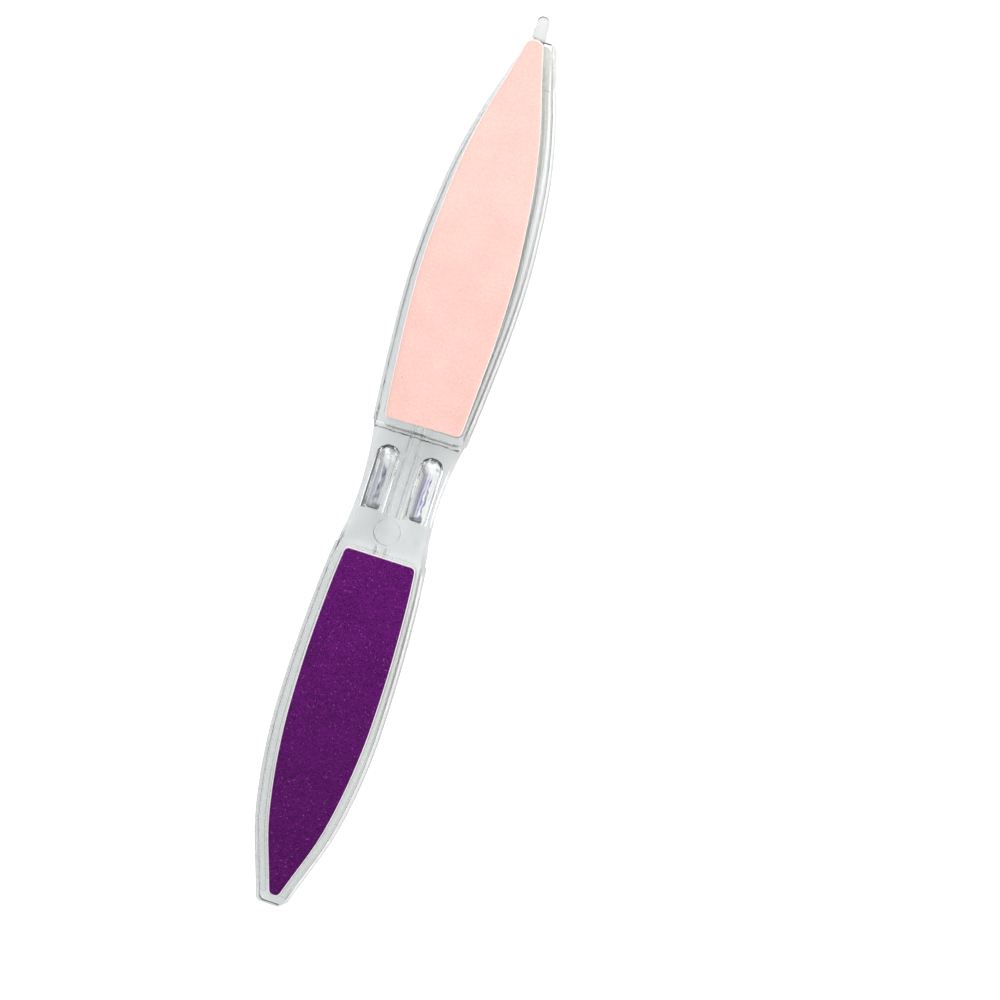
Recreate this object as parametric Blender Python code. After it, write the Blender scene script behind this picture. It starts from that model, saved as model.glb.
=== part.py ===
"""Double-ended nail buffer: a clear hollow body with two leaf-shaped blades joined by a waist.

The body is two moulded shells that meet at the middle plane. A small clear cuticle pusher is held
between them at the tip of the upper blade. Each blade carries an abrasive pad on its front and on
its back, and each pad is a sheet of adhesive, a foam core and an abrasive sheet.

The long axis is Y, with the pusher at +Y. X runs across the blades. Z is up, the thickness, and the
buffer lies on its back pads at z = 0. The origin is under the middle of the buffer.
"""

import math

import bmesh
import bpy
import numpy as np
from mathutils import Matrix, Vector

MM = 0.001

# Body, seen from the front
UPPER_LENGTH = 66.6 * MM
UPPER_WIDTH = 18.6 * MM
LOWER_LENGTH = 59.4 * MM
LOWER_WIDTH = 17.25 * MM
WAIST_LENGTH = 20.4 * MM
WAIST_WIDTH = 12.7 * MM
SHOULDER_STEP = 0.25 * MM
UPPER_END_CORNER = 0.7 * MM
LOWER_END_CORNER = 0.9 * MM

# Edge of each blade: share of its length from the waist, and share of its half width
UPPER_EDGE_SHARES = (
    (0.00, 0.825),
    (0.07, 0.872),
    (0.19, 0.939),
    (0.31, 0.990),
    (0.42, 1.000),
    (0.55, 0.946),
    (0.67, 0.848),
    (0.79, 0.665),
    (0.90, 0.425),
    (1.00, 0.212),
)
LOWER_EDGE_SHARES = (
    (0.00, 0.860),
    (0.06, 0.905),
    (0.20, 0.968),
    (0.36, 1.000),
    (0.54, 0.980),
    (0.67, 0.885),
    (0.80, 0.705),
    (0.91, 0.450),
    (1.00, 0.240),
)
# Edge of the waist: share of its length from the upper blade, and share of the way from the
# narrowest half width out to the shoulder
WAIST_NARROWEST_SHARE = 0.55
WAIST_EDGE_SHARES = (
    (0.00, 1.00),
    (0.12, 0.58),
    (0.30, 0.19),
    (WAIST_NARROWEST_SHARE, 0.00),
    (0.78, 0.30),
    (1.00, 1.00),
)

# Body, seen from the side
BODY_THICKNESS = 5.6 * MM
WAIST_THICKNESS = 4.0 * MM
UPPER_RAMP = 1.4 * MM
LOWER_RAMP = 4.2 * MM
LOBE_START = 5.15 * MM
LOBE_LENGTH = 1.5 * MM
LOBE_ROUND = 0.8 * MM
EDGE_ROUND = 0.3 * MM
SEAM_GAP = 0.1 * MM

# Hollow inside the blades, with a rib down the middle
FACE_SKIN = 1.0 * MM
SIDE_WALL = 2.0 * MM
BASE_WALL = 1.6 * MM
RIB_WIDTH = 1.1 * MM
CAVITY_TIP_WIDTH = 0.6 * MM

# Tongue on the back shell and groove in the front shell, along the edge of each blade
TONGUE_INSET = 0.6 * MM
TONGUE_WIDTH = 0.8 * MM
TONGUE_HEIGHT = 0.5 * MM
TONGUE_END_WALL = 1.7 * MM
TONGUE_PLAY = 0.08 * MM

# Bullet-shaped pockets and straight channels inside the waist
POCKET_WIDTH = 4.2 * MM
POCKET_HEIGHT = 2.6 * MM
POCKET_LENGTH = 11.0 * MM
POCKET_WALL = 0.55 * MM
POCKET_START_SHARE = 0.15
INSERT_HEAD_WIDTH = 3.7 * MM
INSERT_HEAD_LENGTH = 2.6 * MM
INSERT_SHANK_WIDTH = 2.5 * MM
INSERT_HEIGHT = 2.3 * MM
INSERT_CHAMFER = 0.25 * MM
INSERT_PLAY = 0.2 * MM
CHANNEL_WIDTH = 0.6 * MM
WAIST_SKIN = 0.8 * MM

# Bosses with pins on the back shell and sockets in the front shell
BLADE_BOSS_DIAMETER = 4.0 * MM
WAIST_BOSS_DIAMETER = 5.6 * MM
BLADE_PIN_DIAMETER = 2.0 * MM
WAIST_PIN_DIAMETER = 4.3 * MM
PIN_LENGTH = 0.9 * MM
PIN_PLAY = 0.1 * MM
UPPER_BOSS_SHARES = (0.13, 0.80)
LOWER_BOSS_SHARES = (0.13, 0.78)
WAIST_BOSS_SHARE = 0.826

# Cuticle pusher
PUSHER_REACH = 4.0 * MM
PUSHER_WIDTH = 2.35 * MM
PUSHER_TIP_WIDTH = 1.85 * MM
PUSHER_ROUND_SHARE = 0.95
PUSHER_THICKNESS = 1.6 * MM
PUSHER_LIP = 1.05 * MM
PUSHER_ROUND = 0.45 * MM
PUSHER_ROOF_TURN = math.radians(16.0)
PUSHER_RIDGE_SHIFT = 0.12 * MM
PUSHER_SHIFT = 0.95 * MM
PUSHER_TURN = math.radians(2.5)
TANG_LENGTH = 6.0 * MM
TANG_SHOULDER = 0.65 * MM
TANG_PLAY = 0.1 * MM
TANG_PIN_DIAMETER = 0.9 * MM
TANG_PIN_SHARE = 0.62

# Pads
PAD_RIM = 1.7 * MM
UPPER_PAD_BASE_RIM = 1.0 * MM
UPPER_PAD_TIP_GAP = 0.5 * MM
LOWER_PAD_BASE_RIM = 0.5 * MM
LOWER_PAD_TIP_GAP = 1.7 * MM
PAD_CORNER = 0.9 * MM
UPPER_PAD_TURN = math.radians(1.2)
LOWER_PAD_SHIFT = 0.65 * MM
# Rim beside a pad: share of the pad's length from the waist, and share of the full rim
UPPER_PAD_RIM_SHARES = (
    (0.00, 0.78),
    (0.35, 0.88),
    (0.62, 0.95),
    (0.82, 0.80),
    (1.00, 0.51),
)
LOWER_PAD_RIM_SHARES = (
    (0.00, 0.84),
    (0.35, 0.90),
    (0.62, 1.04),
    (1.00, 1.08),
)
ADHESIVE_THICKNESS = 0.12 * MM
FOAM_THICKNESS = 0.7 * MM
ABRASIVE_THICKNESS = 0.2 * MM
FOAM_LEDGE = 0.15 * MM
# The abrasive sheet is glued this far off the foam, down and to the right seen on its own face
SHEET_OFFSET = 0.09 * MM
BOND_GAP = 0.05 * MM

# How far a cutter runs past what it cuts
OVERRUN = 1.0 * MM

# How many straight pieces make a long edge, a small arc, a rounded rim and a full circle
EDGE_STEPS = 28
ARC_STEPS = 6
RIM_STEPS = 2
ROUND_STEPS = 24
RIM_PROFILE = 0.5
SMOOTH_ANGLE = math.radians(35.0)

# Places worked out from the sizes
OVERALL_LENGTH = UPPER_LENGTH + WAIST_LENGTH + LOWER_LENGTH + PUSHER_REACH
TOP_END_Y = OVERALL_LENGTH / 2 - PUSHER_REACH
UPPER_BASE_Y = TOP_END_Y - UPPER_LENGTH
LOWER_BASE_Y = UPPER_BASE_Y - WAIST_LENGTH
POCKET_TOP_Y = UPPER_BASE_Y - WAIST_LENGTH * POCKET_START_SHARE
PAD_HEIGHT = ADHESIVE_THICKNESS + FOAM_THICKNESS + ABRASIVE_THICKNESS + 3 * BOND_GAP
MIDDLE_Z = PAD_HEIGHT + BODY_THICKNESS / 2
CAVITY_HEIGHT = BODY_THICKNESS - 2 * FACE_SKIN
CHANNEL_HEIGHT = WAIST_THICKNESS - 2 * WAIST_SKIN
RESERVED_TIP = TANG_LENGTH + BASE_WALL

# Colours
CLEAR_PLASTIC = (0.93, 0.95, 0.95)
TAPE = (0.86, 0.85, 0.80)
FOAM = (0.90, 0.89, 0.87)
PINK_GRIT = (0.93, 0.68, 0.62)
PURPLE_GRIT = (0.10, 0.015, 0.13)
GREY_GRIT = (0.50, 0.51, 0.54)
WHITE_GRIT = (0.82, 0.81, 0.79)
INSERT_METAL = (0.78, 0.78, 0.82)
CLEAR_ROUGHNESS = 0.05
TAPE_ROUGHNESS = 0.5
FOAM_ROUGHNESS = 0.9
GRIT_ROUGHNESS = 0.85
INSERT_ROUGHNESS = 0.12


def clear_scene():
    for found in list(bpy.data.objects):
        bpy.data.objects.remove(found, do_unlink=True)


def finish_of(name, colour, roughness, clear=False, metallic=0.0):
    """A material with one Principled shader."""
    material = bpy.data.materials.new(name)
    material.use_nodes = True
    shader = material.node_tree.nodes["Principled BSDF"]
    shader.inputs["Base Color"].default_value = (*colour, 1.0)
    shader.inputs["Roughness"].default_value = roughness
    shader.inputs["Metallic"].default_value = metallic
    shader.inputs["Transmission Weight"].default_value = 1.0 if clear else 0.0
    return material


def smooth_at(table, share):
    """The second column of a table of shares where the first column is share, on a smooth curve."""
    shares = np.array(table)
    slopes = np.gradient(shares[:, 1], shares[:, 0])
    found = int(np.searchsorted(shares[:, 0], share, side="right")) - 1
    found = min(max(found, 0), len(shares) - 2)
    start, end = shares[found], shares[found + 1]
    step = end[0] - start[0]
    t = (share - start[0]) / step
    near = (1 + 2 * t) * (1 - t) ** 2 * start[1] + t * t * (3 - 2 * t) * end[1]
    turn = t * (1 - t) ** 2 * slopes[found] - t * t * (1 - t) * slopes[found + 1]
    return near + step * turn


class Blade:
    """One blade: how wide it is along its length, and which way it points from the waist."""

    def __init__(self, base_y, length, width, shares, direction, reserved):
        self.base_y = base_y
        self.length = length
        self.half_width = width / 2
        self.shares = shares
        self.direction = direction
        self.reserved = reserved

    def y(self, distance):
        return self.base_y + self.direction * distance

    def edge(self, distance):
        return self.half_width * smooth_at(self.shares, distance / self.length)

    def right_edge(self, start, end, inset):
        """Points (x, y) down the right edge, moved in by inset, between two distances."""
        distances = np.linspace(start, end, EDGE_STEPS + 1)
        return [(self.edge(d) - inset(d), self.y(d)) for d in distances]


UPPER = Blade(UPPER_BASE_Y, UPPER_LENGTH, UPPER_WIDTH, UPPER_EDGE_SHARES, 1, RESERVED_TIP)
LOWER = Blade(LOWER_BASE_Y, LOWER_LENGTH, LOWER_WIDTH, LOWER_EDGE_SHARES, -1, TONGUE_END_WALL)
BLADES = {"upper": UPPER, "lower": LOWER}


def rounded(points, corners):
    """The closed outline with an arc of the given radius at each listed corner index."""
    result = []
    for index, point in enumerate(points):
        radius = corners.get(index, 0)
        if radius == 0:
            result.append(point)
            continue
        here = Vector(point)
        before = (Vector(points[index - 1]) - here).normalized()
        after = (Vector(points[(index + 1) % len(points)]) - here).normalized()
        half = before.angle(after) / 2
        centre = here + (before + after).normalized() * radius / math.sin(half)
        start = here + before * radius / math.tan(half) - centre
        end = here + after * radius / math.tan(half) - centre
        turn = start.angle_signed(end)
        for step in range(ARC_STEPS + 1):
            spoke = start.copy()
            spoke.rotate(Matrix.Rotation(-turn * step / ARC_STEPS, 2))
            result.append(tuple(centre + spoke))
    return result


def mirrored(right_side):
    """A closed outline from the points of its right side, listed from one end to the other."""
    return list(right_side) + [(-x, y) for x, y in reversed(right_side)]


def waist_edge():
    """Points (x, y) of the waist's right edge, from its lower end to its upper end."""
    narrow = WAIST_WIDTH / 2
    shoulders = (UPPER.edge(0) - SHOULDER_STEP, LOWER.edge(0) - SHOULDER_STEP)
    points = []
    for share in np.linspace(1, 0, EDGE_STEPS // 2 + 1):
        shoulder = shoulders[0] if share < WAIST_NARROWEST_SHARE else shoulders[1]
        x = narrow + (shoulder - narrow) * smooth_at(WAIST_EDGE_SHARES, share)
        points.append((x, UPPER_BASE_Y - WAIST_LENGTH * share))
    return points


def body_outline():
    """The whole body from the front, with a small corner arc at each of its four ends."""
    lower = LOWER.right_edge(LOWER.length, 0, lambda d: 0)
    upper = UPPER.right_edge(0, UPPER.length, lambda d: 0)
    points = mirrored(lower + waist_edge() + upper)
    half = len(points) // 2
    corners = {0: LOWER_END_CORNER, len(points) - 1: LOWER_END_CORNER}
    corners |= {half - 1: UPPER_END_CORNER, half: UPPER_END_CORNER}
    return rounded(points, corners)


def shade(mesh):
    """Shades the round faces smooth and keeps the corners sharp."""
    mesh.shade_smooth()
    mesh.set_sharp_from_angle(angle=SMOOTH_ANGLE)


def new_object(name, shape, material=None):
    """An object from a bmesh, which is freed."""
    mesh = bpy.data.meshes.new(name)
    shape.to_mesh(mesh)
    shape.free()
    shade(mesh)
    made = bpy.data.objects.new(name, mesh)
    bpy.context.scene.collection.objects.link(made)
    if material:
        mesh.materials.append(material)
    return made


def prism(name, outline, low, high, along="Z", rim=0, both_rims=False, material=None):
    """An outline pushed from low to high, along Z, or along X for an outline in Y and Z.

    The edge of the face at high is rounded by rim, and that of the face at low too if asked.
    """
    shape = bmesh.new()
    axis = "XYZ".index(along)
    corners = [shape.verts.new(np.insert(point, axis, low)) for point in outline]
    base = shape.faces.new(corners)
    grown = bmesh.ops.extrude_face_region(shape, geom=[base], use_keep_orig=True)["geom"]
    for vertex in [g for g in grown if isinstance(g, bmesh.types.BMVert)]:
        vertex.co[axis] = high
    bmesh.ops.recalc_face_normals(shape, faces=shape.faces)
    if rim:
        edges = list(next(g for g in grown if isinstance(g, bmesh.types.BMFace)).edges)
        if both_rims:
            edges += list(base.edges)
        bmesh.ops.bevel(
            shape,
            geom=edges,
            offset=rim,
            segments=RIM_STEPS,
            profile=RIM_PROFILE,
            affect="EDGES",
        )
    return new_object(name, shape, material)


def bullet(name, profile, material=None):
    """A closed body of oval rings (half width, half height, y) about the Y axis.

    The first and the last have no width.
    """
    shape = bmesh.new()
    rings = []
    for wide, high, y in profile:
        angles = [2 * math.pi * step / ROUND_STEPS for step in range(ROUND_STEPS if wide else 1)]
        rings.append([shape.verts.new((wide * math.cos(a), y, high * math.sin(a))) for a in angles])
    for ring, following in zip(rings, rings[1:]):
        for step in range(ROUND_STEPS):
            corners = [ring[step % len(ring)], ring[(step + 1) % len(ring)]]
            corners += [following[(step + 1) % len(following)], following[step % len(following)]]
            shape.faces.new(dict.fromkeys(corners))
    bmesh.ops.recalc_face_normals(shape, faces=shape.faces)
    return new_object(name, shape, material)


def cylinder(name, diameter, y, low, high):
    """An upright round post on the middle line."""
    radius = diameter / 2
    angles = [2 * math.pi * step / ROUND_STEPS for step in range(ROUND_STEPS)]
    return prism(name, [(radius * math.cos(a), y + radius * math.sin(a)) for a in angles], low, high)


def as_tool(tool):
    """Marks an object that only shapes another one."""
    tool.hide_render = True
    tool.display_type = "WIRE"
    return tool


def combine(target, tool, operation):
    """Adds a tool to a piece, or cuts it away."""
    modifier = target.modifiers.new(f"{operation.lower()} {tool.name}", "BOOLEAN")
    modifier.operation = operation
    modifier.solver = "EXACT"
    modifier.object = as_tool(tool)


def settle(pieces):
    """Swaps each piece's Booleans for the mesh that they make, and removes the tools."""
    graph = bpy.context.evaluated_depsgraph_get()
    results = [bpy.data.meshes.new_from_object(piece.evaluated_get(graph)) for piece in pieces]
    for piece, mesh in zip(pieces, results):
        piece.modifiers.clear()
        piece.data = mesh
        shade(mesh)
    for tool in [found for found in bpy.data.objects if found.hide_render]:
        bpy.data.objects.remove(tool, do_unlink=True)


def relief_tool(side):
    """What thins the waist on one side: a hollow ramp at its upper end and a flat one below."""
    drop = (BODY_THICKNESS - WAIST_THICKNESS) / 2
    points = []
    ends = ((UPPER_BASE_Y, UPPER_RAMP, -1, ARC_STEPS), (LOWER_BASE_Y, LOWER_RAMP, 1, 1))
    for base, run, direction, steps in ends:
        radius = (run**2 + drop**2) / (2 * drop)
        steepest = math.asin(run / radius)
        ramp = []
        for angle in np.linspace(steepest, 0, steps + 1):
            y = base + direction * (run - radius * math.sin(angle))
            ramp.append((y, WAIST_THICKNESS / 2 + radius * (1 - math.cos(angle))))
        points += ramp if direction < 0 else ramp[::-1]
    slope_top = BODY_THICKNESS / 2 + OVERRUN
    points = [(UPPER_BASE_Y, slope_top)] + points + [(LOWER_BASE_Y, slope_top)]
    placed = [(y, MIDDLE_Z + side * z) for y, z in points]
    reach = UPPER_WIDTH / 2 + OVERRUN
    name = "front_waist_relief" if side > 0 else "back_waist_relief"
    return prism(name, placed, -reach, reach, along="X")


def lobe_tools(side):
    """The round-ended steps at the outer ends of the lower ramp."""
    top = LOWER_BASE_Y + LOWER_RAMP + OVERRUN
    bottom = LOWER_BASE_Y + LOWER_RAMP - LOBE_LENGTH
    reach = UPPER_WIDTH / 2 + OVERRUN
    levels = sorted((MIDDLE_Z + side * WAIST_THICKNESS / 2, MIDDLE_Z + side * BODY_THICKNESS))
    points = [(LOBE_START, top), (LOBE_START, bottom), (reach, bottom), (reach, top)]
    right = rounded(points, {1: LOBE_ROUND})
    left = [(-x, y) for x, y in right]
    sides = (("right", right), ("left", left))
    return [prism(f"lobe_{name}_{side}", outline, *levels) for name, outline in sides]


def cavity_tools():
    """The hollow on each side of the rib in each blade, as high as both shells together."""
    low = MIDDLE_Z - CAVITY_HEIGHT / 2
    high = MIDDLE_Z + CAVITY_HEIGHT / 2
    tools = []
    for name, blade in BLADES.items():
        last = blade.length - blade.reserved
        distances = np.linspace(BASE_WALL, last, EDGE_STEPS + 1)
        least = SIDE_WALL + RIB_WIDTH / 2 + CAVITY_TIP_WIDTH
        outer = [(blade.edge(d) - SIDE_WALL, blade.y(d)) for d in distances if blade.edge(d) >= least]
        inner = [(RIB_WIDTH / 2, outer[-1][1]), (RIB_WIDTH / 2, outer[0][1])]
        for side, sign in (("right", 1), ("left", -1)):
            points = [(sign * x, y) for x, y in outer + inner]
            tools.append(prism(f"{name}_cavity_{side}", points, low, high))
    return tools


def dome(half_width, half_height, end_y):
    """Rings of a round end that closes at end_y, from its widest one."""
    rings = []
    for angle in np.linspace(0, math.pi / 2, ARC_STEPS + 1)[:-1]:
        y = end_y - half_width * (1 - math.sin(angle))
        rings.append((half_width * math.cos(angle), half_height * math.cos(angle), y))
    return rings + [(0, 0, end_y)]


def pocket_places():
    """(name, x) of the middle line of each waist pocket."""
    x = WAIST_WIDTH / 2 - POCKET_WALL - POCKET_WIDTH / 2
    return (("right", x), ("left", -x))


def pocket_tools():
    """Two bullet-shaped pockets in the waist, with their round ends towards the upper blade."""
    half = (POCKET_WIDTH / 2, POCKET_HEIGHT / 2)
    start = POCKET_TOP_Y - POCKET_LENGTH
    profile = [(0, 0, start), (*half, start), *dome(*half, POCKET_TOP_Y)]
    tools = []
    for side, x in pocket_places():
        tool = bullet(f"waist_pocket_{side}", profile)
        tool.location = (x, 0, MIDDLE_Z)
        tools.append(tool)
    return tools


def make_inserts():
    """A polished insert in each pocket: a shank with a chamfered end and a wider domed head."""
    shank = (INSERT_SHANK_WIDTH / 2, INSERT_HEIGHT / 2)
    head = (INSERT_HEAD_WIDTH / 2, INSERT_HEIGHT / 2)
    start = POCKET_TOP_Y - POCKET_LENGTH + INSERT_PLAY
    end = POCKET_TOP_Y - INSERT_PLAY
    neck = end - INSERT_HEAD_LENGTH
    profile = [
        (0, 0, start),
        (shank[0] - INSERT_CHAMFER, shank[1] - INSERT_CHAMFER, start),
        (*shank, start + INSERT_CHAMFER),
        (*shank, neck - INSERT_CHAMFER),
        (*head, neck + INSERT_CHAMFER),
        *dome(*head, end),
    ]
    for side, x in pocket_places():
        material = finish_of(f"{side}_insert_metal", INSERT_METAL, INSERT_ROUGHNESS, metallic=1.0)
        insert = bullet(f"{side}_waist_insert", profile, material)
        insert.location = (x, 0, MIDDLE_Z)


def channel_tools():
    """A straight channel on each side of the rib, from one blade's hollow to the other's."""
    start = LOWER_BASE_Y - BASE_WALL - OVERRUN
    end = UPPER_BASE_Y + BASE_WALL + OVERRUN
    low = MIDDLE_Z - CHANNEL_HEIGHT / 2
    high = MIDDLE_Z + CHANNEL_HEIGHT / 2
    tools = []
    for side, sign in (("right", 1), ("left", -1)):
        near = sign * RIB_WIDTH / 2
        far = sign * (RIB_WIDTH / 2 + CHANNEL_WIDTH)
        points = [(near, start), (far, start), (far, end), (near, end)]
        tools.append(prism(f"waist_channel_{side}", points, low, high))
    return tools


def boss_places():
    """(y, diameter, its pin's diameter, height of the hollow there, skin over it) of each boss."""
    places = []
    for blade, shares in ((UPPER, UPPER_BOSS_SHARES), (LOWER, LOWER_BOSS_SHARES)):
        for share in shares:
            y = blade.y(blade.length * share)
            places.append((y, BLADE_BOSS_DIAMETER, BLADE_PIN_DIAMETER, CAVITY_HEIGHT, FACE_SKIN))
    waist_y = UPPER_BASE_Y - WAIST_LENGTH * WAIST_BOSS_SHARE
    waist_sizes = (WAIST_BOSS_DIAMETER, WAIST_PIN_DIAMETER, CHANNEL_HEIGHT, WAIST_SKIN)
    places.append((waist_y, *waist_sizes))
    return places


def add_bosses(shell, side):
    """Posts from the inner face of a shell to the seam, with pins on the back and sockets in front."""
    seam = MIDDLE_Z + side * SEAM_GAP / 2
    pin_top = MIDDLE_Z + PIN_LENGTH
    for number, (y, diameter, pin_diameter, hollow, skin) in enumerate(boss_places(), start=1):
        root = MIDDLE_Z + side * (hollow + skin) / 2
        boss = cylinder(f"{shell.name}_boss_{number}", diameter, y, *sorted((seam, root)))
        combine(shell, boss, "UNION")
        if side > 0:
            size = pin_diameter + 2 * PIN_PLAY
            name = f"{shell.name}_socket_{number}"
            combine(shell, cylinder(name, size, y, MIDDLE_Z - OVERRUN, pin_top + PIN_PLAY), "DIFFERENCE")
        else:
            pin = cylinder(f"{shell.name}_pin_{number}", pin_diameter, y, root, pin_top)
            combine(shell, pin, "UNION")


def tongue_tools(play, low, high):
    """The strips along both edges of each blade, grown all round by play."""
    tools = []
    outer_inset = TONGUE_INSET - play
    inner_inset = TONGUE_INSET + TONGUE_WIDTH + play
    for name, blade in BLADES.items():
        start = TONGUE_END_WALL - play
        end = blade.length - blade.reserved + play
        outer = blade.right_edge(start, end, lambda d: outer_inset)
        inner = blade.right_edge(end, start, lambda d: inner_inset)
        for side, sign in (("right", 1), ("left", -1)):
            points = [(sign * x, y) for x, y in outer + inner]
            tools.append(prism(f"{name}_strip_{side}", points, low, high))
    return tools


def pusher_place():
    """Where the pusher sits: at the tip of the upper blade, a little off centre and turned."""
    centre = Vector((-PUSHER_SHIFT, TOP_END_Y, MIDDLE_Z))
    return Matrix.Translation(centre) @ Matrix.Rotation(PUSHER_TURN, 4, "Z")


def tang_pin(name, diameter, low, high):
    """A round post through the middle of the tang, in the pusher's own frame."""
    post = cylinder(name, diameter, -TANG_LENGTH * TANG_PIN_SHARE, low, high)
    post.location.x = TANG_SHOULDER / 2
    return post


def make_pusher():
    """A round-ended tongue with a slanted ridge in front, and a tang with a hole for its pin.

    The tang has a shoulder on its left side, just off the end of the body at y = 0.
    """
    edge = PUSHER_WIDTH / 2
    tip = PUSHER_TIP_WIDTH / 2
    tang_left = TANG_SHOULDER - edge
    points = [(edge, -TANG_LENGTH), (edge, 0), (tip, PUSHER_REACH), (-tip, PUSHER_REACH)]
    points += [(-edge, TANG_PLAY), (tang_left, TANG_PLAY), (tang_left, -TANG_LENGTH)]
    round_end = tip * PUSHER_ROUND_SHARE
    outline = rounded(points, {2: round_end, 3: round_end})
    half = PUSHER_THICKNESS / 2
    material = finish_of("pusher_plastic", CLEAR_PLASTIC, CLEAR_ROUGHNESS, clear=True)
    pusher = prism(
        "cuticle_pusher", outline, -half, half, rim=PUSHER_ROUND, both_rims=True, material=material
    )
    slant = [(0, half + OVERRUN), (0, half), (PUSHER_REACH, PUSHER_LIP - half)]
    slant += [(PUSHER_REACH + OVERRUN, PUSHER_LIP - half), (PUSHER_REACH + OVERRUN, half + OVERRUN)]
    reach = PUSHER_WIDTH + OVERRUN
    roof = []
    for side_name, sign in (("right", 1), ("left", -1)):
        wedge = prism(f"pusher_slant_{side_name}", slant, -reach, reach, along="X")
        wedge.matrix_world = Matrix.Translation((-PUSHER_RIDGE_SHIFT, 0, 0)) @ Matrix.Rotation(
            sign * PUSHER_ROOF_TURN, 4, "Y"
        )
        roof.append(wedge)
    hole_size = TANG_PIN_DIAMETER + 2 * TANG_PLAY
    hole = tang_pin("pusher_pin_hole", hole_size, -half - OVERRUN, half + OVERRUN)
    for tool in (*roof, hole):
        combine(pusher, tool, "DIFFERENCE")
        tool.parent = pusher
    pusher.matrix_world = pusher_place()
    return pusher


def slot_tool():
    """The space in both shells for the pusher's tang."""
    right = PUSHER_WIDTH / 2 + TANG_PLAY
    left = TANG_SHOULDER - right
    bottom = -TANG_LENGTH - TANG_PLAY
    points = [(right, bottom), (right, OVERRUN), (left, OVERRUN), (left, bottom)]
    half = PUSHER_THICKNESS / 2 + TANG_PLAY
    tool = prism("tang_slot", points, -half, half)
    tool.matrix_world = pusher_place()
    return tool


def tang_pin_tool():
    """The pin on the back shell that passes through the pusher's tang."""
    half = PUSHER_THICKNESS / 2
    root = -half - TANG_PLAY - FACE_SKIN / 2
    tool = tang_pin("tang_pin", TANG_PIN_DIAMETER, root, half)
    tool.matrix_world = pusher_place() @ Matrix.Translation(tool.location)
    return tool


def make_shell(name, side, hollows):
    """One half of the clear body, with side 1 for the front and -1 for the back."""
    seam = MIDDLE_Z + side * SEAM_GAP / 2
    face = MIDDLE_Z + side * BODY_THICKNESS / 2
    material = finish_of(f"{name}_plastic", CLEAR_PLASTIC, CLEAR_ROUGHNESS, clear=True)
    shell = prism(name, body_outline(), seam, face, rim=EDGE_ROUND, material=material)
    for tool in [relief_tool(side), *lobe_tools(side)]:
        combine(shell, tool, "DIFFERENCE")
    for tool in hollows:
        combine(shell, tool, "DIFFERENCE")
    add_bosses(shell, side)
    return shell


def pad_outline(blade, base_rim, tip_gap, rim_shares, inset):
    """A pad's outline on its blade: follows the blade's edge, and closes on a round tip."""
    start = base_rim + inset
    end = blade.length - tip_gap - inset

    def rim(distance):
        return PAD_RIM * smooth_at(rim_shares, (distance - start) / (end - start)) + inset

    right = blade.right_edge(start, end, rim)
    points = mirrored(right)
    last = len(right) - 1
    tip = abs(right[-1][0])
    corner = PAD_CORNER - inset
    corners = {0: corner, len(points) - 1: corner, last: tip, last + 1: tip}
    return rounded(points, corners)


def make_pad(side_name, blade_name, grit, shift=0, turn=0):
    """Adhesive, foam and abrasive sheet on one face of one blade, as three separate pieces."""
    side = 1 if side_name == "front" else -1
    blade = BLADES[blade_name]
    if blade_name == "upper":
        rims = (UPPER_PAD_BASE_RIM, UPPER_PAD_TIP_GAP, UPPER_PAD_RIM_SHARES)
    else:
        rims = (LOWER_PAD_BASE_RIM, LOWER_PAD_TIP_GAP, LOWER_PAD_RIM_SHARES)
    middle_y = blade.y(blade.length / 2)
    place = (
        Matrix.Translation((shift, middle_y, 0))
        @ Matrix.Rotation(turn, 4, "Z")
        @ Matrix.Translation((0, -middle_y, 0))
    )
    layers = (
        ("adhesive", ADHESIVE_THICKNESS, FOAM_LEDGE, TAPE, TAPE_ROUGHNESS),
        ("foam", FOAM_THICKNESS, 0, FOAM, FOAM_ROUGHNESS),
        ("abrasive", ABRASIVE_THICKNESS, FOAM_LEDGE, grit, GRIT_ROUGHNESS),
    )
    core_place = Matrix.Translation((-side * SHEET_OFFSET, SHEET_OFFSET, 0)) @ place
    level = BODY_THICKNESS / 2
    for layer, thickness, inset, colour, roughness in layers:
        level += BOND_GAP
        low, high = sorted((MIDDLE_Z + side * level, MIDDLE_Z + side * (level + thickness)))
        level += thickness
        name = f"{side_name}_{blade_name}_{layer}"
        outline = pad_outline(blade, *rims, inset)
        piece = prism(name, outline, low, high, material=finish_of(name, colour, roughness))
        piece.matrix_world = place if layer == "abrasive" else core_place


def main():
    clear_scene()
    hollows = cavity_tools() + pocket_tools() + channel_tools() + [slot_tool()]
    front = make_shell("front_shell", 1, hollows)
    back = make_shell("back_shell", -1, hollows)
    groove_top = MIDDLE_Z + TONGUE_HEIGHT + TONGUE_PLAY
    for tool in tongue_tools(TONGUE_PLAY, MIDDLE_Z - OVERRUN, groove_top):
        combine(front, tool, "DIFFERENCE")
    for tool in tongue_tools(0, MIDDLE_Z - TONGUE_HEIGHT, MIDDLE_Z + TONGUE_HEIGHT):
        combine(back, tool, "UNION")
    combine(back, tang_pin_tool(), "UNION")
    settle([front, back, make_pusher()])
    make_inserts()
    make_pad("front", "upper", PINK_GRIT, turn=UPPER_PAD_TURN)
    make_pad("front", "lower", PURPLE_GRIT, shift=LOWER_PAD_SHIFT)
    make_pad("back", "upper", GREY_GRIT)
    make_pad("back", "lower", WHITE_GRIT)


main()
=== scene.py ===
"""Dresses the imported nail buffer: clear moulded body, cuticle pusher and four buffing pads.

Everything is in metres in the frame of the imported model: Y along the buffer, X across it, Z up.
"""

import logging
import math
from dataclasses import dataclass, field
from enum import Enum
from typing import Any, Iterable, Sequence

import bmesh
import bpy
import numpy as np
from mathutils import Matrix, Vector, noise


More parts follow.
